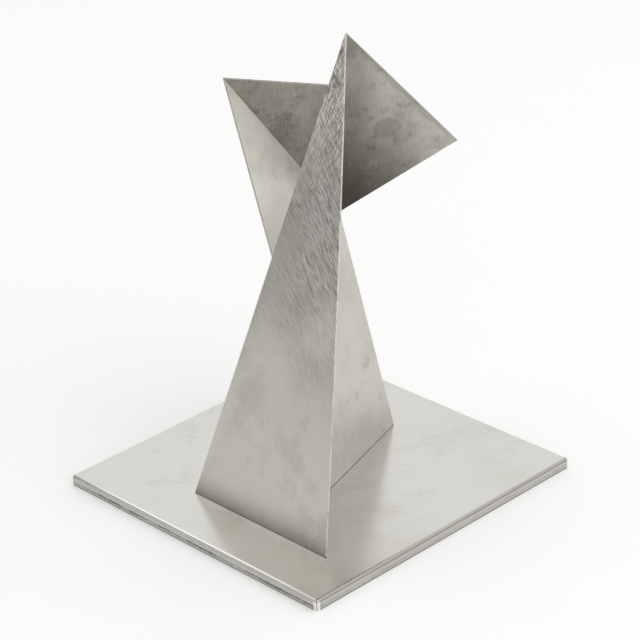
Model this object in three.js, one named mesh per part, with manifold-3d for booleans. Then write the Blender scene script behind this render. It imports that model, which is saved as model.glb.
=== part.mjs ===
// Welded sheet-metal sculpture on a folded square base, in millimetres, +Z up.
// The frame's origin is the middle of the base's underside; -Y is the side the tall blade faces.
import * as THREE from "three";
import Module from "manifold-3d";

// Folded base pan: a square top whose four edges are bent down.
const BASE_SIDE = 406.4;
const BASE_EDGES = 4;
const BASE_HEIGHT = 14;
const BASE_SHEET = 2;
const BEND_RADIUS = 3.2;
const BEND_STEPS = 8;
const CORNER_SLIT = 0.8;
const BEND_OVERLAP = 1;

// Thickness of the upright sheets, and the play left along every welded seam.
const SHEET = 2;
const SEAM_GAP = 0.3;

// Blade: a tall isosceles triangle leaning back from its foot, its right edge slightly bowed.
// The lean is in degrees from upright.
const BLADE_FOOT_LEFT = -63.6;
const BLADE_FOOT_BACK = -136.7;
const BLADE_FOOT = 212.6;
const BLADE_SIDE = 568.6;
const BLADE_LEAN = 17.49;
const BLADE_BOW = 2.6;
const BOW_STEPS = 24;

// Prop: the rear plate, from a foot behind the blade to the free corner at upper left.
// The bearing is the heading of its foot on the base, in degrees from +X.
// The corners are angles inside the plate's outline, in degrees.
const PROP_FOOT_ALONG_BLADE = 145.9;
const PROP_FOOT = 278.3;
const PROP_BEARING = 107.9;
const PROP_MEETS_BLADE_AT = 300.8;
const PROP_FOOT_CORNER = 88.33;
const PROP_SIDE = 277.5;
const PROP_KNEE_CORNER = 145.24;
const PROP_TOP = 274.9;
const PROP_APEX_CORNER = 34.29;

// Hood: the top plate, folded forward from the prop's upper edge to the blade's tip.
// The knee is the angle between its lower edge and the line to the tip, in degrees.
const HOOD_BELOW_TIP = 1;
const HOOD_KNEE = 54.3;
const HOOD_LOWER_EDGE = 163.8;
const HOOD_NOTCH_DEPTH = 205.7;

const STEEL = { color: 0xb9b6ad, metalness: 1, roughness: 0.42 };

const UP = new THREE.Vector3(0, 0, 1);
const ALONG_X = new THREE.Vector3(1, 0, 0);
const QUARTER_TURN = Math.PI / 2;
const radians = THREE.MathUtils.degToRad;

const wasm = await Module();
wasm.setup();

/** The point `distance` from `from` on the way to `to`. */
function toward(from, to, distance) {
  const way = to.clone().sub(from).normalize();
  return from.clone().addScaledVector(way, distance);
}

/** A point in the plane of `normal`, `distance` from `corner`, turned `degrees` from the edge to `arm`. */
function turned(corner, arm, normal, degrees, distance) {
  const way = arm.clone().sub(corner).normalize();
  way.applyAxisAngle(normal, radians(degrees));
  return corner.clone().addScaledVector(way, distance);
}

/** The unit normal of the plane through three points, counterclockwise as seen. */
function normalOf(a, b, c) {
  const first = b.clone().sub(a);
  const second = c.clone().sub(a);
  return first.cross(second).normalize();
}

/** The plane square to a sheet along the edge from `a` to `b`, facing out of the sheet's outline. */
function squareCut(a, b, normal) {
  const out = b.clone().sub(a).cross(normal).normalize();
  return new THREE.Plane().setFromNormalAndCoplanarPoint(out, a);
}

/** The point shared by three planes. */
function planesMeet(p, q, r) {
  const qr = q.normal.clone().cross(r.normal);
  const rp = r.normal.clone().cross(p.normal);
  const pq = p.normal.clone().cross(q.normal);
  const scale = p.normal.dot(qr);
  return new THREE.Vector3()
    .addScaledVector(qr, -p.constant)
    .addScaledVector(rp, -q.constant)
    .addScaledVector(pq, -r.constant)
    .divideScalar(scale);
}

/** A closed geometry from two matching rings, `front` counterclockwise as seen from outside. */
function between(front, back, normal) {
  const across = front[1].clone().sub(front[0]).normalize();
  const upward = normal.clone().cross(across);
  const flat = front.map((p) => new THREE.Vector2(p.dot(across), p.dot(upward)));
  const faces = THREE.ShapeUtils.triangulateShape(flat, []);
  const count = front.length;
  const index = [];
  for (const [a, b, c] of faces) {
    index.push(a, b, c);
    index.push(count + a, count + c, count + b);
  }
  for (let i = 0; i < count; i += 1) {
    const next = (i + 1) % count;
    index.push(i, count + i, count + next);
    index.push(i, count + next, next);
  }
  const geometry = new THREE.BufferGeometry().setFromPoints([...front, ...back]);
  return geometry.setIndex(index);
}

/** A flat sheet whose front face holds `point`, bounded by the cut planes round its outline. */
function sheet(point, normal, cuts) {
  const face = new THREE.Plane().setFromNormalAndCoplanarPoint(normal, point);
  const rear = face.clone();
  rear.constant += SHEET;
  const ring = (plane) => cuts.map((cut, i) => planesMeet(plane, cuts.at(i - 1), cut));
  return between(ring(face), ring(rear), normal);
}

/** A plane moved `distance` against its own normal. */
function drawnBack(plane, distance) {
  const moved = plane.clone();
  moved.constant += distance;
  return moved;
}

/** The outline of one folded edge of the base: distance in from the outer face, and height. */
function foldProfile() {
  const inner = BEND_RADIUS - BASE_SHEET;
  const outline = [[BASE_SHEET, 0]];
  const bend = (radius, turn) => [
    BEND_RADIUS - radius * Math.cos(turn),
    BASE_HEIGHT - BEND_RADIUS + radius * Math.sin(turn),
  ];
  for (let i = 0; i <= BEND_STEPS; i += 1) {
    outline.push(bend(inner, (i / BEND_STEPS) * QUARTER_TURN));
  }
  outline.push([BEND_RADIUS + BEND_OVERLAP, BASE_HEIGHT - BASE_SHEET]);
  outline.push([BEND_RADIUS + BEND_OVERLAP, BASE_HEIGHT]);
  for (let i = BEND_STEPS; i >= 0; i -= 1) {
    outline.push(bend(BEND_RADIUS, (i / BEND_STEPS) * QUARTER_TURN));
  }
  outline.push([0, 0]);
  return outline;
}

/** One folded edge of the base, its ends mitred to leave a slit at each corner. */
function foldedEdge() {
  const half = BASE_SIDE / 2;
  const ends = (side) =>
    foldProfile().map(([inward, height]) => {
      const reach = half - inward - CORNER_SLIT / Math.SQRT2;
      return new THREE.Vector3(side * reach, inward - half, height);
    });
  return between(ends(1), ends(-1), ALONG_X);
}

/** A geometry as a solid that can be joined to another. */
function solid(geometry) {
  const vertProperties = new Float32Array(geometry.getAttribute("position").array);
  const triVerts = new Uint32Array(geometry.index.array);
  const mesh = new wasm.Mesh({ numProp: 3, vertProperties, triVerts });
  return new wasm.Manifold(mesh);
}

/** A joined solid as a geometry. */
function geometryOf(joined) {
  const mesh = joined.getMesh();
  const geometry = new THREE.BufferGeometry();
  const position = new THREE.BufferAttribute(mesh.vertProperties, 3);
  geometry.setAttribute("position", position);
  return geometry.setIndex(new THREE.BufferAttribute(mesh.triVerts, 1));
}

/** A box geometry with one vertex at each corner. */
function weldedBox(box) {
  const position = box.getAttribute("position");
  const corners = new Map();
  const points = [];
  const index = Array.from(box.index.array, (i) => {
    const point = new THREE.Vector3().fromBufferAttribute(position, i);
    const key = point.toArray().join(" ");
    if (!corners.has(key)) {
      corners.set(key, points.length);
      points.push(point);
    }
    return corners.get(key);
  });
  return new THREE.BufferGeometry().setFromPoints(points).setIndex(index);
}

/** The folded base: a flat top with four edges bent down, open underneath. */
function basePan() {
  const span = BASE_SIDE - 2 * BEND_RADIUS;
  const top = new THREE.BoxGeometry(span, span, BASE_SHEET);
  top.deleteAttribute("normal");
  top.deleteAttribute("uv");
  top.translate(0, 0, BASE_HEIGHT - BASE_SHEET / 2);
  let joined = solid(weldedBox(top));
  for (let i = 0; i < BASE_EDGES; i += 1) {
    const edge = foldedEdge().rotateZ(i * QUARTER_TURN);
    joined = joined.add(solid(edge));
  }
  return geometryOf(joined);
}

/** The named corners and face normals of the three upright sheets. */
function layOut() {
  const lean = radians(BLADE_LEAN);
  const bladeNormal = new THREE.Vector3(0, -Math.cos(lean), Math.sin(lean));
  const bladeLeft = new THREE.Vector3(BLADE_FOOT_LEFT, BLADE_FOOT_BACK, BASE_HEIGHT);
  const bladeRight = bladeLeft.clone().setX(BLADE_FOOT_LEFT + BLADE_FOOT);
  const rise = Math.sqrt(BLADE_SIDE ** 2 - (BLADE_FOOT / 2) ** 2);
  const upBlade = new THREE.Vector3(0, Math.sin(lean), Math.cos(lean));
  const tip = bladeLeft.clone().lerp(bladeRight, 0.5).addScaledVector(upBlade, rise);

  const heel = toward(bladeLeft, bladeRight, PROP_FOOT_ALONG_BLADE);
  const footWay = ALONG_X.clone().applyAxisAngle(UP, radians(PROP_BEARING));
  const propFoot = heel.clone().addScaledVector(footWay, PROP_FOOT);
  const weldTop = toward(bladeLeft, tip, PROP_MEETS_BLADE_AT);
  const propNormal = normalOf(heel, propFoot, weldTop);
  const knee = turned(propFoot, heel, propNormal, -PROP_FOOT_CORNER, PROP_SIDE);
  const apex = turned(knee, propFoot, propNormal, -PROP_KNEE_CORNER, PROP_TOP);
  const propLow = turned(apex, knee, propNormal, -PROP_APEX_CORNER, PROP_TOP);

  const touch = toward(tip, bladeRight, HOOD_BELOW_TIP);
  touch.addScaledVector(bladeNormal, -SHEET - SEAM_GAP);
  const hoodNormal = normalOf(knee, touch, apex);
  const wing = turned(knee, touch, hoodNormal, -HOOD_KNEE, HOOD_LOWER_EDGE);
  const notch = toward(knee, touch, HOOD_NOTCH_DEPTH);
  return {
    bladeNormal,
    bladeLeft,
    bladeRight,
    tip,
    propNormal,
    propFoot,
    propLow,
    knee,
    apex,
    hoodNormal,
    touch,
    wing,
    notch,
  };
}

/** Points along the blade's right edge, on a parabola that stands out most at mid-length. */
function bowedEdge(at) {
  const sideways = squareCut(at.bladeRight, at.tip, at.bladeNormal).normal;
  const points = [];
  for (let i = 0; i <= BOW_STEPS; i += 1) {
    const share = i / BOW_STEPS;
    const fromMiddle = 2 * share - 1;
    const point = at.bladeRight.clone().lerp(at.tip, share);
    points.push(point.addScaledVector(sideways, BLADE_BOW * (1 - fromMiddle ** 2)));
  }
  return points;
}

/** The blade, standing on the base top and bowed along its right edge. */
function blade(at) {
  const bowed = bowedEdge(at);
  const cuts = [footCut()];
  for (let i = 0; i < BOW_STEPS; i += 1) {
    cuts.push(squareCut(bowed[i], bowed[i + 1], at.bladeNormal));
  }
  cuts.push(squareCut(at.tip, at.bladeLeft, at.bladeNormal));
  return sheet(at.bladeLeft, at.bladeNormal, cuts);
}

/** The level cut on which an upright sheet stands, just clear of the base top. */
function footCut() {
  return new THREE.Plane(new THREE.Vector3(0, 0, -1), BASE_HEIGHT + SEAM_GAP);
}

/** The mitre plane of the crease between prop and hood, facing from the prop to the hood. */
function creaseCut(at) {
  const middle = at.propNormal.clone().add(at.hoodNormal);
  const out = at.apex.clone().sub(at.knee).cross(middle).normalize();
  return new THREE.Plane().setFromNormalAndCoplanarPoint(out, at.knee);
}

/** The rear plate, cut to lie against the blade's back and mitred along the crease. */
function prop(at) {
  const bladeBack = new THREE.Plane();
  bladeBack.setFromNormalAndCoplanarPoint(at.bladeNormal, at.bladeLeft);
  const cuts = [
    footCut(),
    squareCut(at.propFoot, at.knee, at.propNormal),
    drawnBack(creaseCut(at), SEAM_GAP / 2),
    squareCut(at.apex, at.propLow, at.propNormal),
    drawnBack(bladeBack, SHEET + SEAM_GAP),
  ];
  return sheet(at.propFoot, at.propNormal, cuts);
}

/** The top plate, notched behind the blade's tip. */
function hood(at) {
  const crease = creaseCut(at).negate();
  const cuts = [
    squareCut(at.knee, at.wing, at.hoodNormal),
    squareCut(at.wing, at.touch, at.hoodNormal),
    squareCut(at.touch, at.notch, at.hoodNormal),
    squareCut(at.notch, at.apex, at.hoodNormal),
    drawnBack(crease, SEAM_GAP / 2),
  ];
  return sheet(at.knee, at.hoodNormal, cuts);
}

const sculpture = new THREE.Group();
sculpture.name = "folded_plate_sculpture";
const corners = layOut();
const pieces = {
  base_pan: basePan(),
  blade: blade(corners),
  prop: prop(corners),
  hood: hood(corners),
};
for (const [name, geometry] of Object.entries(pieces)) {
  const mesh = new THREE.Mesh(geometry, new THREE.MeshStandardMaterial(STEEL));
  mesh.name = name;
  sculpture.add(mesh);
}

export default sculpture;
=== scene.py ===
"""Dressed model of a welded sheet-metal sculpture on a folded square base.

Everything is in metres, +Z up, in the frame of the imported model: the origin is the
middle of the base's underside and -Y is the side the tall blade faces.
"""

import logging
import math
from dataclasses import dataclass
from enum import Enum

import bmesh
import bpy
from mathutils import Matrix, Vector


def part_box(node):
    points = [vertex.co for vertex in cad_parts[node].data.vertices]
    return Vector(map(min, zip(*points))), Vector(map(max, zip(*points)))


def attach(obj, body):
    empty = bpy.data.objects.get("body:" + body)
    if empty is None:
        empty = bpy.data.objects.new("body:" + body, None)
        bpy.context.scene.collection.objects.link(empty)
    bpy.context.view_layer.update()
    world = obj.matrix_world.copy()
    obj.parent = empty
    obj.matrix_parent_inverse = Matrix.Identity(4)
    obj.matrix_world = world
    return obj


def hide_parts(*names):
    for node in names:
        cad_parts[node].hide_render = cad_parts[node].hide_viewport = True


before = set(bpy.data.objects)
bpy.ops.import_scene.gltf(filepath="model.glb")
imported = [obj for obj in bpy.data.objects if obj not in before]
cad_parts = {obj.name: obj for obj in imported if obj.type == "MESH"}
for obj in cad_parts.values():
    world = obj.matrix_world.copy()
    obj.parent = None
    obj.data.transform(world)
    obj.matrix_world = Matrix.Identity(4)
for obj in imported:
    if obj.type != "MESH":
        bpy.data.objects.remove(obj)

log = logging.getLogger("sculpture")

BODY = "root"
SEED = 11

Rgb = tuple[float, float, float]
Point = tuple[float, float, float]

# The value at which a mark begins and the one at which it is full.
Span = tuple[float, float]

# Numbers of a Mix node's sockets when it blends colours.
MIX_SHARE, MIX_LOW, MIX_HIGH, MIX_COLOUR = 0, 6, 7, 2


class Slot(Enum):
    """The record's material slots."""

    SHEET = "brushed_sheet"
    BASE = "brushed_base"


# Node graphs


class Value:
    """One node output, so that shader maths reads as a Python expression."""

    def __init__(self, graph: "Graph", socket: bpy.types.NodeSocket | None) -> None:
        """Keeps the socket and the graph it belongs to."""
        self.graph = graph
        self.socket = socket

    def _maths(self, operation: str, *operands: "Value | float") -> "Value":
        """Adds one Math node.

        Args:
            operation: The Math node's operation.
            operands: Its inputs in order.

        Returns:
            The node's output.
        """
        inputs = dict(enumerate(operands))
        return self.graph.add("ShaderNodeMath", {"operation": operation}, inputs)

    def __add__(self, other: "Value | float") -> "Value":
        """self + other."""
        return self._maths("ADD", self, other)

    def __radd__(self, other: float) -> "Value":
        """other + self."""
        return self._maths("ADD", other, self)

    def __sub__(self, other: "Value | float") -> "Value":
        """self - other."""
        return self._maths("SUBTRACT", self, other)

    def __rsub__(self, other: float) -> "Value":
        """other - self."""
        return self._maths("SUBTRACT", other, self)

    def __mul__(self, other: "Value | float") -> "Value":
        """self * other."""
        return self._maths("MULTIPLY", self, other)

    def __rmul__(self, other: float) -> "Value":
        """other * self."""
        return self._maths("MULTIPLY", other, self)

    def __truediv__(self, other: "Value | float") -> "Value":
        """self / other."""
        return self._maths("DIVIDE", self, other)

    def __rtruediv__(self, other: float) -> "Value":
        """other / self."""
        return self._maths("DIVIDE", other, self)

    def __abs__(self) -> "Value":
        """The size of self without its sign."""
        return self._maths("ABSOLUTE", self)

    def power(self, exponent: float) -> "Value":
        """self raised to an exponent."""
        return self._maths("POWER", self, exponent)

    def ramp(self, start: float, end: float) -> "Value":
        """A smooth step across a range, falling if start is above end.

        Args:
            start: The value that gives 0.
            end: The value that gives 1.

        Returns:
            The step, from 0 to 1.
        """
        settings = {"interpolation_type": "SMOOTHSTEP"}
        if start < end:
            inputs = {"Value": self, "From Min": start, "From Max": end}
            return self.graph.add("ShaderNodeMapRange", settings, inputs)
        inputs = {"Value": self, "From Min": end, "From Max": start, "To Min": 1.0, "To Max": 0.0}
        return self.graph.add("ShaderNodeMapRange", settings, inputs)


@dataclass(frozen=True)
class Clouds:
    """A cloudy noise: clouds to a metre, its finer octaves and how strong those are."""

    scale: float
    detail: float = 2.0
    rough: float = 0.5


class Graph:
    """A node tree and the few ways of adding to it."""

    def __init__(self, tree: bpy.types.NodeTree) -> None:
        """Starts with the tree emptied."""
        self.tree = tree
        self.tree.nodes.clear()

    def add(
        self,
        kind: str,
        settings: dict[str, object] | None = None,
        inputs: dict[str | int, object] | None = None,
        output: str | int = 0,
    ) -> Value:
        """Adds any node, its settings first and then its inputs.

        Args:
            kind: The node's type.
            settings: Its own settings, such as an operation.
            inputs: Values or links, by the name or number of the socket.
            output: The name or number of the output wanted.

        Returns:
            That output.
        """
        node = self.tree.nodes.new(kind)
        for key, setting in (settings or {}).items():
            setattr(node, key, setting)
        for key, given in (inputs or {}).items():
            if isinstance(given, Value):
                self.tree.links.new(given.socket, node.inputs[key])
            else:
                node.inputs[key].default_value = given
        return Value(self, node.outputs[output] if node.outputs else None)

    def beside(self, value: Value, output: str | int) -> Value:
        """Another output of the node that a value comes from."""
        return Value(self, value.socket.node.outputs[output])

    def split(self, place: Value) -> tuple[Value, Value, Value]:
        """The three numbers of a vector."""
        first = self.add("ShaderNodeSeparateXYZ", {}, {0: place})
        return first, self.beside(first, 1), self.beside(first, 2)

    def here(self) -> Value:
        """Object coordinates."""
        return self.add("ShaderNodeTexCoord", output="Object")

    def mix(self, share: Value | float, low: Value | Rgb, high: Value | Rgb) -> Value:
        """Blends two colours.

        Args:
            share: 0 gives the first colour, 1 the second.
            low: The first colour.
            high: The second colour.

        Returns:
            The blended colour.
        """
        first = low if isinstance(low, Value) else (*low, 1.0)
        second = high if isinstance(high, Value) else (*high, 1.0)
        inputs = {MIX_SHARE: share, MIX_LOW: first, MIX_HIGH: second}
        return self.add("ShaderNodeMix", {"data_type": "RGBA"}, inputs, MIX_COLOUR)

    def noise(self, place: Value, clouds: Clouds) -> Value:
        """Cloudy noise from 0 to 1.

        Args:
            place: The coordinates it is read at.
            clouds: Its size and fineness.

        Returns:
            The noise.
        """
        inputs = {
            "Vector": place,
            "Scale": clouds.scale,
            "Detail": clouds.detail,
            "Roughness": clouds.rough,
        }
        return self.add("ShaderNodeTexNoise", {}, inputs)

    def stretched(self, place: Value, heading: float, length: float, pitch: float) -> Value:
        """Coordinates for lines that run one way.

        Args:
            place: Coordinates in the sheet's plane.
            heading: Heading of the lines from the sheet's X, in degrees.
            length: Length of a line.
            pitch: Distance between lines.

        Returns:
            The turned and scaled coordinates.
        """
        turn = {"Vector": place, "Rotation": (0.0, 0.0, math.radians(-heading))}
        turned = self.add("ShaderNodeMapping", {}, turn)
        scale = {"Vector": turned, "Scale": (1.0 / length, 1.0 / pitch, 1.0 / pitch)}
        return self.add("ShaderNodeMapping", {}, scale)

    def bump(self, height: Value, strength: float, over: Value | None = None) -> Value:
        """Bumps from a height in metres.

        Args:
            height: The height.
            strength: How strongly the bumps show.
            over: Bumps that these are added to.

        Returns:
            The normal.
        """
        inputs = {"Strength": strength, "Distance": 1.0, "Height": height}
        if over is not None:
            inputs["Normal"] = over
        return self.add("ShaderNodeBump", {}, inputs)

    def metal(self, colour: Value, rough: Value, normal: Value) -> Value:
        """The shader of a bare metal surface.

        Args:
            colour: Its colour.
            rough: Its roughness.
            normal: Its bumps.

        Returns:
            The shader.
        """
        inputs = {"Base Color": colour, "Roughness": rough, "Normal": normal, "Metallic": 1.0}
        return self.add("ShaderNodeBsdfPrincipled", {}, inputs)


class MaterialGraph(Graph):
    """The node tree of a new material."""

    def __init__(self, name: str) -> None:
        """Starts an empty material of that name."""
        self.material = bpy.data.materials.new(name)
        self.material.use_nodes = True
        super().__init__(self.material.node_tree)

    def finish(self, shader: Value) -> bpy.types.Material:
        """Wires the shader to the material's output.

        Args:
            shader: The surface shader.

        Returns:
            The finished material.
        """
        self.add("ShaderNodeOutputMaterial", {}, {"Surface": shader})
        return self.material


@dataclass(frozen=True)
class Layout:
    """A plate's axes along its foot, up its face and out of it, and its corner and size."""

    turn: Matrix
    origin: Vector
    width: float
    height: float

    def local(self, point: Point) -> Vector:
        """A point of the shared frame in the plate's own axes."""
        return self.turn @ (Vector(point) - self.origin)


class PlateGraph(MaterialGraph):
    """A new material with a plate's own coordinates as values."""

    def __init__(self, name: str, layout: Layout) -> None:
        """Starts the material and carries Object coordinates into the plate's plane."""
        super().__init__(name)
        self.layout = layout
        inputs = {
            "Vector": self.here(),
            "Location": -(layout.turn @ layout.origin),
            "Rotation": layout.turn.to_euler("XYZ"),
        }
        self.place = self.add("ShaderNodeMapping", {}, inputs)
        self.over, self.up, _ = self.split(self.place)


class BaseGraph(MaterialGraph):
    """A new material with distances in from the base's edges and its top as values."""

    def __init__(self, name: str, half: float, height: float) -> None:
        """Starts the material for a base of that half side and height."""
        super().__init__(name)
        self.half = half
        self.height = height
        self.place = self.here()
        self.x, self.y, self.z = self.split(self.place)
        self.reach = abs(self.x) + abs(self.y)

    def down(self, span: Span) -> Value:
        """A step between two depths below the top."""
        return self.z.ramp(self.height - span[0], self.height - span[1])

    def from_front(self, span: Span) -> Value:
        """A step between two distances in from the front edge."""
        return self.y.ramp(span[0] - self.half, span[1] - self.half)

    def from_left(self, span: Span) -> Value:
        """A step between two distances in from the left edge."""
        return self.x.ramp(span[0] - self.half, span[1] - self.half)

    def from_right(self, span: Span) -> Value:
        """A step between two distances in from the right edge."""
        return self.x.ramp(self.half - span[0], self.half - span[1])

    def from_corner(self, span: Span) -> Value:
        """A step between two distances from a corner, added up along both edges."""
        return self.reach.ramp(2.0 * self.half - span[0], 2.0 * self.half - span[1])


# Finishes

GLINT: Rgb = (0.98, 0.96, 0.93)
OLIVE: Rgb = (0.50, 0.475, 0.415)
MAUVE: Rgb = (0.66, 0.62, 0.60)
JOINT_DARK: Rgb = (0.05, 0.047, 0.042)

# The grain of one set of brush lines, and the noise that gives its dark and light lines.
LINE_GRAIN = Clouds(1.0, 0.6, 0.5)
DARK_LINES: Span = (0.44, 0.30)
LIGHT_LINES: Span = (0.56, 0.68)

# The sheets' noises.
SHEET_BROAD = Clouds(8.0, 4.0, 0.6)
SHEET_PATCH = Clouds(24.0, 5.0, 0.65)
SHEET_FINE = Clouds(160.0, 3.0, 0.6)
SHEET_BLOTS = Clouds(34.0, 3.0, 0.55)
SHEET_PITS = Clouds(620.0, 1.0)
SHEET_SWELL = Clouds(7.0, 1.0, 0.4)

# The base's noises, those of its brush lines and dashes first.
BASE_BRUSH = Clouds(1.0, 2.0, 0.6)
BASE_DASH = Clouds(1.0, 1.0, 0.4)
BASE_BROAD = Clouds(6.0, 3.0, 0.5)
BASE_PATCH = Clouds(24.0, 4.0, 0.6)
BASE_PITS = Clouds(520.0, 1.0)
BASE_WEAR = Clouds(19.0, 3.0, 0.6)
BASE_SCUFFS = Clouds(760.0, 2.0, 0.6)
BASE_RAGGED = Clouds(420.0, 3.0, 0.7)
BASE_WANDER = Clouds(14.0, 1.0)
BASE_SWELL = Clouds(5.0, 1.0, 0.4)

# Heights that the bumps stand for.
FINE_RELIEF = 0.00001
LINE_RELIEF = 0.00003
SWELL_RELIEF = 0.001

# Where the lines that lie only at the top begin and are full, as shares of a plate's height.
TOP_LINES: Span = (0.55, 0.85)

# The stain band at a plate's foot: how far its border wanders and where it runs.
BAND_WANDER = 0.040
BAND_LOWER: Span = (0.002, 0.009)
BAND_UPPER: Span = (0.026, 0.011)


@dataclass(frozen=True)
class Brushing:
    """One set of brush lines on a sheet, its heading in degrees."""

    heading: float
    length: float
    pitch: float
    dark: float
    light: float
    top_only: bool = False

    def masks(self, graph: Graph, place: Value) -> tuple[Value, Value]:
        """Where the lines run.

        Args:
            graph: The material's graph.
            place: Coordinates in the plate's plane.

        Returns:
            The masks of its dark and its light lines.
        """
        spots = graph.stretched(place, self.heading, self.length, self.pitch)
        grain = graph.noise(spots, LINE_GRAIN)
        return grain.ramp(*DARK_LINES), grain.ramp(*LIGHT_LINES)


@dataclass(frozen=True)
class Shading:
    """A ragged patch of stain, painted shade or painted light that fades with distance from a line,
    or from a point if it has no end.
    """

    start: Point
    full: float
    gone: float
    share: float
    ragged: float
    end: Point | None = None
    tone: Rgb | None = None

    def mask(self, graph: PlateGraph, clouds: Value) -> Value:
        """Where the patch lies.

        Args:
            graph: The graph of the plate's material.
            clouds: Cloudy noise that makes its border ragged.

        Returns:
            Its strength, from 0 to its share.
        """
        start = graph.layout.local(self.start)
        aside, above = graph.over - start.x, graph.up - start.y
        if self.end is None:
            apart = (aside * aside + above * above).power(0.5)
        else:
            run = (graph.layout.local(self.end) - start).to_2d().normalized()
            apart = abs(aside * run.y - above * run.x)
        return (apart + (clouds - 0.5) * self.ragged).ramp(self.gone, self.full) * self.share


@dataclass(frozen=True)
class SheetFinish:
    """Hand-brushed stainless sheet, with clouds of stain, scattered scratches and patches of stain,
    painted shade and painted light.
    """

    name: str
    tone: Rgb
    shade: Rgb
    stain: Rgb
    blush: Rgb
    roughness: float
    cloud: float
    brushings: tuple[Brushing, ...]
    wave: float = 0.3
    foot_band: float = 0.0
    edge_zone: float = 0.0
    smudge: float = 0.0
    shadings: tuple[Shading, ...] = ()

    def zone(self, graph: PlateGraph, patch: Value) -> Value:
        """How strongly the brush lines show from place to place.

        Args:
            graph: The graph of the plate's material.
            patch: Noise in patches.

        Returns:
            Their strength.
        """
        zone = patch.ramp(0.35, 0.6) * 0.45 + 0.35
        if not self.edge_zone:
            return zone
        upward = graph.up / graph.layout.height
        beside = (graph.over / graph.layout.width + upward * 0.5).ramp(0.60, 0.95)
        upper = upward.ramp(0.22, 0.62)
        return zone * (0.10 + upper * 0.90) + upper * beside * self.edge_zone

    def band(self, graph: PlateGraph, patch: Value, fine: Value) -> Value:
        """The speckled stain band along the foot.

        Args:
            graph: The graph of the plate's material.
            patch: Noise in patches, which makes it wander.
            fine: Fine noise, which speckles it.

        Returns:
            Its strength.
        """
        wander = graph.up + (patch - 0.5) * BAND_WANDER
        speckle = fine.ramp(0.4, 0.6) * 0.6 + 0.4
        return wander.ramp(*BAND_LOWER) * wander.ramp(*BAND_UPPER) * speckle

    def material(self, layout: Layout) -> bpy.types.Material:
        """Builds the material for one plate.

        Args:
            layout: The plate's own axes and size.

        Returns:
            The material.
        """
        graph = PlateGraph(self.name, layout)
        place = graph.place
        broad = graph.noise(place, SHEET_BROAD)
        patch = graph.noise(place, SHEET_PATCH)
        fine = graph.noise(place, SHEET_FINE)
        clouds = broad * 0.50 + patch * 0.42 + fine * 0.08
        colour = graph.mix(clouds.ramp(0.47, 0.57) * self.cloud, self.tone, self.stain)
        colour = graph.mix(clouds.ramp(0.49, 0.41) * (self.cloud * 0.8), colour, self.blush)

        zone = self.zone(graph, patch)
        relief = fine * FINE_RELIEF
        rough = self.roughness + (broad - 0.5) * 0.14 + (patch - 0.5) * 0.10
        for line in self.brushings:
            dark, light = line.masks(graph, place)
            share = zone
            if line.top_only:
                share = zone * (graph.up / layout.height).ramp(*TOP_LINES)
            colour = graph.mix(dark * share * line.dark, colour, self.shade)
            colour = graph.mix(light * share * line.light, colour, GLINT)
            relief = relief + (light - dark) * share * LINE_RELIEF
            rough = rough + light * share * 0.08

        if self.foot_band:
            band = self.band(graph, patch, fine)
            colour = graph.mix(band * self.foot_band, colour, self.shade)
        if self.smudge:
            blots = graph.noise(place, SHEET_BLOTS).ramp(0.60, 0.72)
            colour = graph.mix(blots * self.smudge, colour, self.shade)
        for shading in self.shadings:
            colour = graph.mix(shading.mask(graph, clouds), colour, shading.tone or self.shade)
        pits = graph.noise(place, SHEET_PITS).ramp(0.75, 0.79)
        colour = graph.mix(pits * 0.5, colour, self.shade)

        lines = graph.bump(relief, 0.6)
        swell = graph.noise(place, SHEET_SWELL) * SWELL_RELIEF
        return graph.finish(graph.metal(colour, rough, graph.bump(swell, self.wave, lines)))


@dataclass(frozen=True)
class EdgeFinish:
    """Sawn and filed cut edge, with short marks across it and a dark line at the joint."""

    tone: Rgb
    burr: Rgb
    roughness: float
    marks: Clouds = Clouds(900.0, 2.0, 0.6)
    worn: Clouds = Clouds(60.0, 3.0, 0.6)
    mark_relief: float = 0.00008
    joint: Span = (0.0158, 0.0147)

    def material(self, name: str) -> bpy.types.Material:
        """Builds the material.

        Args:
            name: The material's name.

        Returns:
            The material.
        """
        graph = MaterialGraph(name)
        place = graph.here()
        marks = graph.noise(place, self.marks)
        worn = graph.noise(place, self.worn)
        colour = graph.mix(marks.ramp(0.45, 0.65) * 0.5, self.tone, self.burr)
        colour = graph.mix(worn.ramp(0.52, 0.70) * 0.7, colour, self.burr)
        _, _, z = graph.split(place)
        colour = graph.mix(z.ramp(*self.joint) * 0.9, colour, JOINT_DARK)
        rough = self.roughness + (marks - 0.5) * 0.2
        return graph.finish(graph.metal(colour, rough, graph.bump(marks * self.mark_relief, 0.4)))


@dataclass(frozen=True)
class WeldFinish:
    """Fused seam, darkened and faintly straw-coloured by heat."""

    name: str
    tone: Rgb
    straw: Rgb
    roughness: float
    heat: Clouds = Clouds(45.0, 3.0, 0.6)
    grit: Clouds = Clouds(1400.0, 2.0, 0.6)
    grit_relief: float = 0.00006

    def material(self) -> bpy.types.Material:
        """Builds the material.

        Returns:
            The material.
        """
        graph = MaterialGraph(self.name)
        place = graph.here()
        heat = graph.noise(place, self.heat)
        grit = graph.noise(place, self.grit)
        colour = graph.mix(heat.ramp(0.4, 0.65), self.tone, self.straw)
        rough = self.roughness + (grit - 0.5) * 0.25
        return graph.finish(graph.metal(colour, rough, graph.bump(grit * self.grit_relief, 0.5)))


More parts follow.
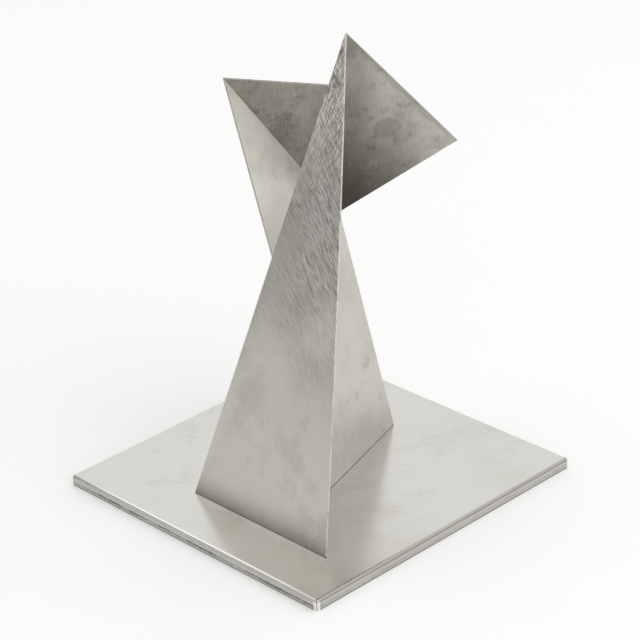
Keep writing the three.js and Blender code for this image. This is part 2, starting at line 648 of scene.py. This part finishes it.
@dataclass(frozen=True)
class BaseFinish:
    """Finely brushed base sheet, its folded edges scuffed and stained.

    Of the spans, flange, the two of painted_dark_reflection and those named depth are depths
    below the top. groove_low, groove_high and rim are heights above the floor. The others are
    distances in from an edge or a corner. The folded edges also carry painted highlight,
    painted shade and painted dark reflection.
    """

    name: str
    tone: Rgb
    shade: Rgb
    stain: Rgb
    # Dark colour of the scuffs, groove, rim and corners, also used for painted shade and painted
    # dark reflection on the bends.
    scuff_and_shade: Rgb
    roughness: float
    heading: float

    # Brush lines over the whole base, and scattered short dashes beside them.
    line_length: float = 0.012
    line_pitch: float = 0.0007
    dash_turn: float = 4.0
    dash_length: float = 0.009
    dash_pitch: float = 0.0012
    line_relief: float = 0.00002
    scuff_relief: float = -0.00003

    flange: Span = (0.0015, 0.0045)
    # Depths of the painted dark reflection in a band under the bends.
    painted_dark_reflection_low: Span = (0.0046, 0.0038)
    painted_dark_reflection_high: Span = (0.0020, 0.0028)
    # Painted highlight along the front bend: how far in from the front and the left, and how deep.
    painted_bend_highlight_front: Span = (0.0036, 0.0016)
    painted_bend_highlight_left: Span = (0.005, 0.090)
    painted_bend_highlight_depth: Span = (0.0032, 0.0016)
    # Painted shade on the right bend: how far in from the right, and how deep.
    painted_bend_shade_right: Span = (0.0030, 0.0012)
    painted_bend_shade_depth: Span = (0.0052, 0.0030)
    groove_front: Span = (0.004, 0.002)
    groove_low: Span = (0.0033, 0.0039)
    groove_high: Span = (0.0062, 0.0055)
    groove_ragged: float = 0.0055
    groove_wander: float = 0.0022
    rim: Span = (0.0022, 0.0010)
    dark_corner: Span = (0.016, 0.003)
    dark_corner_depth: Span = (0.006, 0.001)
    # Painted highlight on the edges of the front corner's slit: how far from the corner.
    painted_slit_highlight: Span = (0.0056, 0.0044)

    def brushed(self, graph: BaseGraph, broad: Value, patch: Value) -> tuple[Value, Value, Value]:
        """The clouded and brushed sheet, before its edges are marked.

        Args:
            graph: The graph of the base's material.
            broad: Broad noise.
            patch: Noise in patches.

        Returns:
            Its colour, its brush lines and its dashes.
        """
        place = graph.place
        spots = graph.stretched(place, self.heading, self.line_length, self.line_pitch)
        brush = graph.noise(spots, BASE_BRUSH)
        heading = self.heading + self.dash_turn
        spots = graph.stretched(place, heading, self.dash_length, self.dash_pitch)
        dash = graph.noise(spots, BASE_DASH).ramp(0.57, 0.68) * patch.ramp(0.43, 0.57)
        colour = graph.mix(broad.ramp(0.48, 0.66) * 0.45, self.tone, self.stain)
        colour = graph.mix(patch.ramp(0.55, 0.72) * 0.25, colour, self.shade)
        colour = graph.mix(brush.ramp(0.5, 0.7) * 0.22, colour, self.shade)
        colour = graph.mix(dash * 0.30, colour, self.shade)
        pits = graph.noise(place, BASE_PITS).ramp(0.765, 0.79)
        return graph.mix(pits * 0.8, colour, self.scuff_and_shade), brush, dash

    def groove(self, graph: BaseGraph, wear: Value) -> Value:
        """The ragged dark line along the folded edges, strongest at the front.

        Args:
            graph: The graph of the base's material.
            wear: Where the edges are worn.

        Returns:
            Its strength.
        """
        fine = graph.noise(graph.place, BASE_RAGGED) - 0.5
        slow = graph.noise(graph.place, BASE_WANDER) - 0.5
        level = graph.z + fine * self.groove_ragged + slow * self.groove_wander
        line = level.ramp(*self.groove_low) * level.ramp(*self.groove_high)
        facing = graph.from_front(self.groove_front) * 0.75 + 0.25
        return line * (wear * 0.6 + 0.4) * facing

    def material(self, half: float, height: float) -> bpy.types.Material:
        """Builds the material.

        Args:
            half: Half the base's side.
            height: The base's height.

        Returns:
            The material.
        """
        graph = BaseGraph(self.name, half, height)
        place = graph.place
        broad = graph.noise(place, BASE_BROAD)
        patch = graph.noise(place, BASE_PATCH)
        colour, brush, dash = self.brushed(graph, broad, patch)

        side = graph.down(self.flange)
        wear = graph.noise(place, BASE_WEAR).ramp(0.40, 0.55)
        scuffs = graph.noise(place, BASE_SCUFFS).ramp(0.62, 0.74) * side * wear
        # Painted highlight along the front bend, fading out towards the left corner.
        painted_bend_highlight = graph.from_front(self.painted_bend_highlight_front) * graph.down(self.painted_bend_highlight_depth)
        painted_bend_highlight = painted_bend_highlight * graph.from_left(self.painted_bend_highlight_left)
        # Painted shade on the right bend.
        painted_bend_shade = graph.from_right(self.painted_bend_shade_right) * graph.down(self.painted_bend_shade_depth)
        # Painted dark reflection in a band under the bends.
        painted_dark_reflection = graph.down(self.painted_dark_reflection_low) * graph.down(self.painted_dark_reflection_high)
        rim = graph.z.ramp(*self.rim)
        corner = graph.from_corner(self.dark_corner) * graph.down(self.dark_corner_depth)
        front = (graph.x - graph.y).ramp(1.5 * half, 1.9 * half)
        # Painted highlight on the edges of the slit, shown at the front corner only.
        painted_slit_highlight = graph.from_corner(self.painted_slit_highlight) * side
        marks = (
            (side * 0.45, self.shade),
            (painted_bend_highlight * 0.8, GLINT),
            (painted_bend_shade * 0.40, self.scuff_and_shade),
            (self.groove(graph, wear) * side, self.scuff_and_shade),
            (painted_dark_reflection * 0.40, self.scuff_and_shade),
            (scuffs * 0.6, self.scuff_and_shade),
            (rim * 0.70, self.scuff_and_shade),
            (corner * side * (1.0 - front) * 0.9, self.scuff_and_shade),
            (painted_slit_highlight * front * 0.8, GLINT),
        )
        for share, tone in marks:
            colour = graph.mix(share, colour, tone)

        rough = self.roughness + (broad - 0.5) * 0.10 + (brush - 0.5) * 0.06 + side * 0.08
        relief = brush * self.line_relief + dash * self.line_relief + scuffs * self.scuff_relief
        lines = graph.bump(relief, 0.5)
        swell = graph.noise(place, BASE_SWELL) * SWELL_RELIEF
        return graph.finish(graph.metal(colour, rough, graph.bump(swell, 0.25, lines)))


# Places on the sculpture

KNEE: Point = (-0.05385, 0.10327, 0.28573)
LEFT_TIP: Point = (-0.04601, -0.06577, 0.50239)
TOP_TIP: Point = (0.04240, 0.03330, 0.54360)
TACK_END: Point = (0.0420, 0.0338, 0.5416)
MID_LEFT: Point = (-0.05, -0.0379, 0.320)
MID_RIGHT: Point = (0.05, -0.0379, 0.320)
WING_TIP: Point = (0.0514, 0.1876, 0.3756)
WING_BLOT: Point = (0.0190, 0.1138, 0.4053)
PALE_SPOT: Point = (0.0120, -0.0763, 0.1982)
RIGHT_SPOT: Point = (0.0930, -0.0619, 0.2441)
FOOT_LEFT: Point = (-0.0635, -0.1375, 0.0143)
FOOT_RIGHT: Point = (0.1480, -0.1375, 0.0143)
HEEL: Point = (0.0823, -0.1367, 0.0140)
WELD_TOP: Point = (-0.0072, -0.0479, 0.2958)

# The ends of the welds along the feet of blade and prop.
BLADE_WELD: tuple[Point, Point] = ((-0.0615, -0.1343, 0.0142), (0.1465, -0.1343, 0.0142))
PROP_WELD: tuple[Point, Point] = ((0.0785, -0.1310, 0.0142), (-0.0047, 0.1260, 0.0142))

# The way that each plate faces, and the way that its foot or lower edge runs.
BLADE_OUT: Point = (0.0, -0.9538, 0.3005)
PROP_OUT: Point = (0.932, 0.301, 0.201)
HOOD_OUT: Point = (0.758, -0.501, -0.418)
BLADE_ALONG: Point = (1.0, 0.0, 0.0)
PROP_ALONG: Point = (-0.307, 0.952, 0.0)
HOOD_ALONG: Point = (0.551, 0.835, 0.0)

# Where the welds between two upright sheets start and stop, as shares of the joint.
PROP_RUN: tuple[float, float] = (0.02, 0.98)
CREASE_RUN: tuple[float, float] = (0.01, 0.98)

# How far a weld's middle lies behind the faces of the sheets that it joins.
BEHIND_BLADE = 0.00313
BEHIND_PROP = 0.00290
BEHIND_CREASE = 0.00110

BLADE_FINISH = SheetFinish(
    name="blade_brushed",
    tone=(0.700, 0.674, 0.610),
    shade=(0.27, 0.255, 0.23),
    stain=OLIVE,
    blush=MAUVE,
    roughness=0.34,
    cloud=0.38,
    brushings=(
        Brushing(heading=142.0, length=0.010, pitch=0.00075, dark=0.70, light=0.50),
        Brushing(heading=131.0, length=0.014, pitch=0.00085, dark=0.50, light=0.55),
        Brushing(heading=74.0, length=0.009, pitch=0.00075, dark=0.55, light=0.75, top_only=True),
    ),
    foot_band=0.17,
    edge_zone=0.9,
    shadings=(
        Shading(MID_LEFT, full=0.10, gone=0.18, share=0.26, ragged=0.16, end=MID_RIGHT),
        Shading(PALE_SPOT, full=0.01, gone=0.060, share=0.35, ragged=0.16, tone=(0.90, 0.87, 0.79)),
        Shading(RIGHT_SPOT, full=0.01, gone=0.050, share=0.30, ragged=0.12, tone=(0.92, 0.88, 0.84)),
        # Painted light along the foot, lifting the darker reflection of the base there.
        Shading(
            FOOT_LEFT,
            full=0.0,
            gone=0.024,
            share=0.18,
            ragged=0.03,
            end=FOOT_RIGHT,
            tone=(0.97, 0.94, 0.89),
        ),
    ),
)
PROP_FINISH = SheetFinish(
    name="prop_brushed",
    tone=(0.575, 0.55, 0.50),
    shade=(0.28, 0.265, 0.235),
    stain=(0.505, 0.485, 0.43),
    blush=(0.62, 0.59, 0.55),
    roughness=0.33,
    cloud=0.55,
    brushings=(Brushing(heading=96.0, length=0.030, pitch=0.0020, dark=0.10, light=0.10),),
    wave=0.35,
    smudge=0.40,
    shadings=(
        # Painted light towards the left tip, offsetting the hood's dark underside that it reflects.
        Shading(LEFT_TIP, full=0.02, gone=0.24, share=0.60, ragged=0.25, tone=(0.92, 0.90, 0.83)),
        # Painted shade near where the prop's upper facet meets the blade.
        Shading(WELD_TOP, full=0.01, gone=0.10, share=0.34, ragged=0.10),
    ),
)
HOOD_FINISH = SheetFinish(
    name="hood_brushed",
    tone=(0.58, 0.555, 0.495),
    shade=(0.105, 0.096, 0.080),
    stain=(0.34, 0.315, 0.275),
    blush=(0.68, 0.66, 0.59),
    roughness=0.30,
    cloud=0.9,
    brushings=(
        Brushing(heading=91.0, length=0.012, pitch=0.0008, dark=0.18, light=0.16),
        Brushing(heading=84.0, length=0.012, pitch=0.0012, dark=0.08, light=0.08),
    ),
    wave=0.5,
    smudge=0.25,
    shadings=(
        # Painted shadow of the blade along its edge on the wing.
        Shading(KNEE, full=0.006, gone=0.040, share=0.40, ragged=0.14, end=TOP_TIP),
        # Painted shade around the knee, where blade and prop block the light.
        Shading(KNEE, full=0.015, gone=0.142, share=0.86, ragged=0.22),
        Shading(LEFT_TIP, full=0.02, gone=0.10, share=0.18, ragged=0.12),
        # Painted reflection, lighter towards the wing's outer tip.
        Shading(WING_TIP, full=0.02, gone=0.075, share=0.30, ragged=0.16, tone=(0.86, 0.83, 0.76)),
        Shading(WING_BLOT, full=0.012, gone=0.018, share=0.26, ragged=0.04),
        Shading(TOP_TIP, full=0.0010, gone=0.0036, share=0.26, ragged=0.06, end=WING_TIP),
        # Painted shade along the crease where the hood meets the prop.
        Shading(KNEE, full=0.010, gone=0.060, share=0.12, ragged=0.12, end=LEFT_TIP),
    ),
)
CUT_EDGE = EdgeFinish(tone=(0.70, 0.675, 0.63), burr=(0.30, 0.285, 0.26), roughness=0.40)
DULL_EDGE = EdgeFinish(tone=(0.48, 0.46, 0.42), burr=(0.26, 0.245, 0.22), roughness=0.45)
WELD = WeldFinish("ground_weld", tone=(0.42, 0.40, 0.37), straw=(0.50, 0.44, 0.34), roughness=0.42)
BASE_FINISH = BaseFinish(
    name="base_brushed",
    tone=(0.65, 0.638, 0.60),
    shade=(0.47, 0.458, 0.42),
    stain=(0.56, 0.552, 0.495),
    scuff_and_shade=(0.16, 0.15, 0.13),
    roughness=0.20,
    heading=47.0,
)


# Meshes

# Vertices closer than this are one, and faces that turn by less than this many degrees.
SAME_PLACE = 1e-6
SAME_PLANE = 0.02


def node_mesh(node: str) -> bmesh.types.BMesh:
    """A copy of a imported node's mesh with its doubles merged and flat faces whole.

    Args:
        node: The node's name.

    Returns:
        The copy.
    """
    grown = bmesh.new()
    grown.from_mesh(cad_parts[node].data)
    bmesh.ops.remove_doubles(grown, verts=grown.verts, dist=SAME_PLACE)
    bmesh.ops.dissolve_limit(
        grown, angle_limit=math.radians(SAME_PLANE), verts=grown.verts, edges=grown.edges
    )
    bmesh.ops.recalc_face_normals(grown, faces=grown.faces)
    return grown


def ease_edges(grown: bmesh.types.BMesh, width: float, least: float) -> None:
    """Rounds every edge that turns by more than an angle.

    Args:
        grown: The mesh, changed in place.
        width: How far the rounding reaches in from the edge.
        least: The smallest turn that is rounded, in degrees.
    """
    sharp = [e for e in grown.edges if e.is_manifold and e.calc_face_angle() > math.radians(least)]
    bmesh.ops.bevel(
        grown,
        geom=sharp,
        offset=width,
        offset_type="OFFSET",
        segments=2,
        profile=0.5,
        affect="EDGES",
        clamp_overlap=True,
    )


def placed(
    name: str, grown: bmesh.types.BMesh, materials: list[bpy.types.Material]
) -> bpy.types.Object:
    """Turns a working mesh into an object at the origin.

    Args:
        name: The object's name.
        grown: The mesh, freed afterwards.
        materials: Its material slots in order.

    Returns:
        The object.
    """
    mesh = bpy.data.meshes.new(name)
    grown.to_mesh(mesh)
    grown.free()
    for material in materials:
        mesh.materials.append(material)
    made = bpy.data.objects.new(name, mesh)
    bpy.context.scene.collection.objects.link(made)
    return made


@dataclass
class Plate:
    """One flat sheet of the sculpture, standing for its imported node."""

    node: str
    finish: SheetFinish
    normal: Point
    foot: Point
    edge: EdgeFinish
    edge_width: float = 0.00025
    sharp_above: float = 20.0
    face_alignment: float = 0.98

    def layout(self) -> Layout:
        """The plate's own axes, and its lower left corner and size in them.

        Returns:
            The layout.
        """
        along = Vector(self.foot).normalized()
        out = Vector(self.normal).normalized()
        along = (along - out * along.dot(out)).normalized()
        turn = Matrix((along, out.cross(along), out))
        corners = [turn @ v.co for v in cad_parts[self.node].data.vertices]
        low = Vector(min(c[i] for c in corners) for i in range(3))
        high = Vector(max(c[i] for c in corners) for i in range(3))
        size = high - low
        return Layout(turn, turn.transposed() @ low, size.x, size.y)

    def build(self) -> bpy.types.Object:
        """Makes the plate with eased edges and its two finishes.

        Returns:
            The finished piece.
        """
        layout = self.layout()
        face = self.finish.material(layout)
        grown = node_mesh(self.node)
        ease_edges(grown, self.edge_width, self.sharp_above)
        out = layout.turn.row[2].to_3d()
        for polygon in grown.faces:
            is_face = abs(polygon.normal.dot(out)) > self.face_alignment
            polygon.material_index = 0 if is_face else 1
        edge = self.edge.material(f"{self.node}_edge")
        piece = placed(f"{self.node}_plate", grown, [face, edge])
        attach(piece, BODY)
        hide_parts(self.node)
        return piece


@dataclass
class BasePan:
    """The folded base: top, four bent edges and the slits at its corners."""

    node: str = "base_pan"
    rim_width: float = 0.0003
    sharp_above: float = 40.0
    smooth_below: float = 30.0
    level: float = 0.9999

    def build(self) -> bpy.types.Object:
        """Makes the base with eased rims and smooth bends.

        Returns:
            The finished piece.
        """
        low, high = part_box(self.node)
        finish = BASE_FINISH.material((high - low).x / 2.0, (high - low).z)
        grown = node_mesh(self.node)
        ease_edges(grown, self.rim_width, self.sharp_above)
        piece = placed("base_folded", grown, [finish])
        piece.data.set_sharp_from_angle(angle=math.radians(self.smooth_below))
        for polygon in piece.data.polygons:
            polygon.use_smooth = abs(polygon.normal.z) < self.level
        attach(piece, BODY)
        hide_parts(self.node)
        return piece


@dataclass
class WeldSeam:
    """A run of overlapping weld pools along one straight seam on the hidden side."""

    name: str
    start: Vector
    end: Vector
    radius: float = 0.0007
    pitch: float = 0.0011
    segments: int = 8
    rings: int = 5
    smallest: float = 0.82

    def tree(self, material: bpy.types.Material) -> bpy.types.NodeTree:
        """Builds the node tree that lays the pools.

        Args:
            material: The weld's material.

        Returns:
            The tree, with inputs for its start, end, radius and pitch.
        """
        tree = bpy.data.node_groups.new(f"{self.name}_tree", "GeometryNodeTree")
        sockets = {
            "Start": "NodeSocketVector",
            "End": "NodeSocketVector",
            "Radius": "NodeSocketFloat",
            "Pitch": "NodeSocketFloat",
        }
        face = tree.interface
        face.new_socket("Geometry", in_out="OUTPUT", socket_type="NodeSocketGeometry")
        for label, kind in sockets.items():
            face.new_socket(label, in_out="INPUT", socket_type=kind)
        graph = Graph(tree)
        start = graph.add("NodeGroupInput", output="Start")
        end, radius, pitch = (graph.beside(start, label) for label in ("End", "Radius", "Pitch"))
        path = graph.add("GeometryNodeCurvePrimitiveLine", {}, {"Start": start, "End": end})
        along = {"Curve": path, "Length": pitch}
        spots = graph.add("GeometryNodeCurveToPoints", {"mode": "LENGTH"}, along, "Points")
        sphere = {"Segments": self.segments, "Rings": self.rings, "Radius": radius}
        pool = graph.add("GeometryNodeMeshUVSphere", {}, sphere, "Mesh")
        sizes = {2: self.smallest, 3: 1.0, "Seed": SEED}
        size = graph.add("FunctionNodeRandomValue", {"data_type": "FLOAT"}, sizes, 1)
        turned = graph.beside(spots, "Rotation")
        laying = {"Points": spots, "Rotation": turned, "Instance": pool, "Scale": size}
        laid = graph.add("GeometryNodeInstanceOnPoints", {}, laying)
        real = graph.add("GeometryNodeRealizeInstances", {}, {0: laid})
        dressing = {"Geometry": real, "Material": material}
        dressed = graph.add("GeometryNodeSetMaterial", {}, dressing)
        graph.add("NodeGroupOutput", {}, {0: dressed})
        return tree

    def build(self, material: bpy.types.Material) -> bpy.types.Object:
        """Lays the seam and keeps it as a plain mesh.

        Args:
            material: The weld's material.

        Returns:
            The finished piece.
        """
        tree = self.tree(material)
        holder = bpy.data.objects.new(self.name, bpy.data.meshes.new(f"{self.name}_holder"))
        bpy.context.scene.collection.objects.link(holder)
        modifier = holder.modifiers.new("lay", "NODES")
        modifier.node_group = tree
        wanted = {"Start": self.start, "End": self.end, "Radius": self.radius, "Pitch": self.pitch}
        for item in tree.interface.items_tree:
            if item.in_out == "INPUT":
                modifier[item.identifier] = wanted[item.name]
        holder.update_tag()
        shown = holder.evaluated_get(bpy.context.evaluated_depsgraph_get())
        mesh = bpy.data.meshes.new_from_object(shown)
        mesh.shade_smooth()
        holder.modifiers.clear()
        holder.data = mesh
        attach(holder, BODY)
        return holder


# Setting


@dataclass
class Studio:
    """Pale floor, soft light all round and the camera.

    The room is dimmed in front of the blade and overhead. Its spans are of the light's
    direction: how far it points to the front, how far it rises, and how near it is to
    straight up.
    """

    target: Vector
    azimuth: float
    elevation: float
    roll: float
    distance: float
    lens: float
    sensor: float = 36.0
    nearest: float = 0.05
    farthest: float = 200.0

    floor_half: float = 30.0
    floor_low: Rgb = (0.93, 0.93, 0.925)
    floor_high: Rgb = (0.95, 0.95, 0.945)
    floor_haze: Clouds = Clouds(3.0)
    floor_rough: float = 0.9
    floor_shine: float = 0.1
    floor_tint: Rgb = (1.0, 1.0, 0.995)
    floor_glow: float = 0.156

    room_light: float = 1.04
    room_white: Rgb = (1.0, 1.0, 1.0)
    room_warm: Rgb = (1.0, 0.985, 0.96)
    front_way: tuple[float, float] = (-0.65, -0.76)
    front_dim: float = 0.84
    front_span: Span = (0.15, 0.85)
    front_rise: Span = (0.72, 0.18)
    top_dim: float = 0.85
    top_span: Span = (0.84, 0.97)

    lamp_place: Point = (3.2, 0.6, 2.4)
    lamp_side: float = 3.0
    lamp_watts: float = 22.0

    def camera(self) -> None:
        """Makes the camera and hands it to the scene."""
        turn, rise = math.radians(self.azimuth), math.radians(self.elevation)
        back = Vector(
            (math.sin(turn) * math.cos(rise), -math.cos(turn) * math.cos(rise), math.sin(rise))
        )
        right = Vector((math.cos(turn), math.sin(turn), 0.0))
        up = back.cross(right)
        lean = math.radians(self.roll)
        right, up = (
            right * math.cos(lean) + up * math.sin(lean),
            up * math.cos(lean) - right * math.sin(lean),
        )
        data = bpy.data.cameras.new("camera")
        data.lens = self.lens
        data.sensor_width = self.sensor
        data.clip_start = self.nearest
        data.clip_end = self.farthest
        camera = bpy.data.objects.new("camera", data)
        bpy.context.scene.collection.objects.link(camera)
        turned = Matrix((right, up, back)).transposed().to_4x4()
        camera.matrix_world = Matrix.Translation(self.target + back * self.distance) @ turned
        bpy.context.scene.camera = camera

    def floor(self) -> None:
        """Makes the plain pale floor."""
        graph = MaterialGraph("floor_pale")
        haze = graph.noise(graph.here(), self.floor_haze)
        inputs = {
            "Base Color": graph.mix(haze, self.floor_low, self.floor_high),
            "Roughness": self.floor_rough,
            "Specular IOR Level": self.floor_shine,
            "Emission Color": (*self.floor_tint, 1.0),
            "Emission Strength": self.floor_glow,
        }
        material = graph.finish(graph.add("ShaderNodeBsdfPrincipled", {}, inputs))
        grown = bmesh.new()
        bmesh.ops.create_grid(grown, x_segments=1, y_segments=1, size=self.floor_half)
        made = placed("floor", grown, [material])

    def room(self) -> None:
        """Lights the whole room softly, darker in front of the blade and overhead."""
        world = bpy.data.worlds.new("soft_room")
        bpy.context.scene.world = world
        world.use_nodes = True
        graph = Graph(world.node_tree)
        x, y, z = graph.split(graph.add("ShaderNodeTexCoord", output="Generated"))
        front = x * self.front_way[0] + y * self.front_way[1]
        dim = front.ramp(*self.front_span) * z.ramp(*self.front_rise)
        top = z.ramp(*self.top_span)
        strength = (1.0 - dim * self.front_dim) * (1.0 - top * self.top_dim)
        inputs = {
            "Color": graph.mix(dim, self.room_white, self.room_warm),
            "Strength": strength * self.room_light,
        }
        light = graph.add("ShaderNodeBackground", {}, inputs)
        graph.add("ShaderNodeOutputWorld", {}, {"Surface": light})

    def lamp(self) -> None:
        """Hangs one soft square light that faces the object."""
        data = bpy.data.lights.new("soft_side", "AREA")
        data.size = self.lamp_side
        data.energy = self.lamp_watts
        lamp = bpy.data.objects.new("soft_side", data)
        spot = Vector(self.lamp_place)
        facing = (spot - self.target).to_track_quat("Z", "Y").to_matrix().to_4x4()
        lamp.matrix_world = Matrix.Translation(spot) @ facing
        bpy.context.scene.collection.objects.link(lamp)

    def build(self) -> None:
        """Makes the whole setting."""
        bpy.context.scene.view_settings.view_transform = "Standard"
        self.camera()
        self.floor()
        self.room()
        self.lamp()


def seams() -> list[WeldSeam]:
    """The runs of weld, each in the corner behind the two sheets that it joins.

    Returns:
        The seams.
    """
    blade_out, prop_out, hood_out = Vector(BLADE_OUT), Vector(PROP_OUT), Vector(HOOD_OUT)
    heel, weld_top = Vector(HEEL), Vector(WELD_TOP)
    knee, left_tip = Vector(KNEE), Vector(LEFT_TIP)
    behind_blade = blade_out * -BEHIND_BLADE + prop_out * -BEHIND_PROP
    behind_crease = (prop_out + hood_out) * -BEHIND_CREASE
    return [
        WeldSeam("seam_blade_foot", *(Vector(end) for end in BLADE_WELD)),
        WeldSeam("seam_prop_foot", *(Vector(end) for end in PROP_WELD)),
        WeldSeam(
            "seam_prop_blade",
            *(heel.lerp(weld_top, share) + behind_blade for share in PROP_RUN),
        ),
        WeldSeam(
            "seam_crease",
            *(knee.lerp(left_tip, share) + behind_crease for share in CREASE_RUN),
        ),
        WeldSeam("tack_tip", Vector(TOP_TIP), Vector(TACK_END)),
    ]


def main() -> None:
    """Builds every piece in order."""
    logging.basicConfig(level=logging.INFO, format="%(name)s: %(message)s")
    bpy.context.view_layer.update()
    weld = WELD.material()
    plates = (
        Plate("blade", BLADE_FINISH, BLADE_OUT, BLADE_ALONG, CUT_EDGE),
        Plate("prop", PROP_FINISH, PROP_OUT, PROP_ALONG, DULL_EDGE),
        Plate("hood", HOOD_FINISH, HOOD_OUT, HOOD_ALONG, DULL_EDGE),
    )
    pieces = [BasePan().build()]
    pieces += [plate.build() for plate in plates]
    pieces += [seam.build(weld) for seam in seams()]
    Studio(
        target=Vector((-0.09149, 0.09886, 0.13592)),
        azimuth=46.84719,
        elevation=26.4631,
        roll=-2.90887,
        distance=3.03310,
        lens=143.908,
    ).build()
    for piece in pieces:
        log.info("%s: %d faces", piece.name, len(piece.data.polygons))


if __name__ == "__main__":
    main()
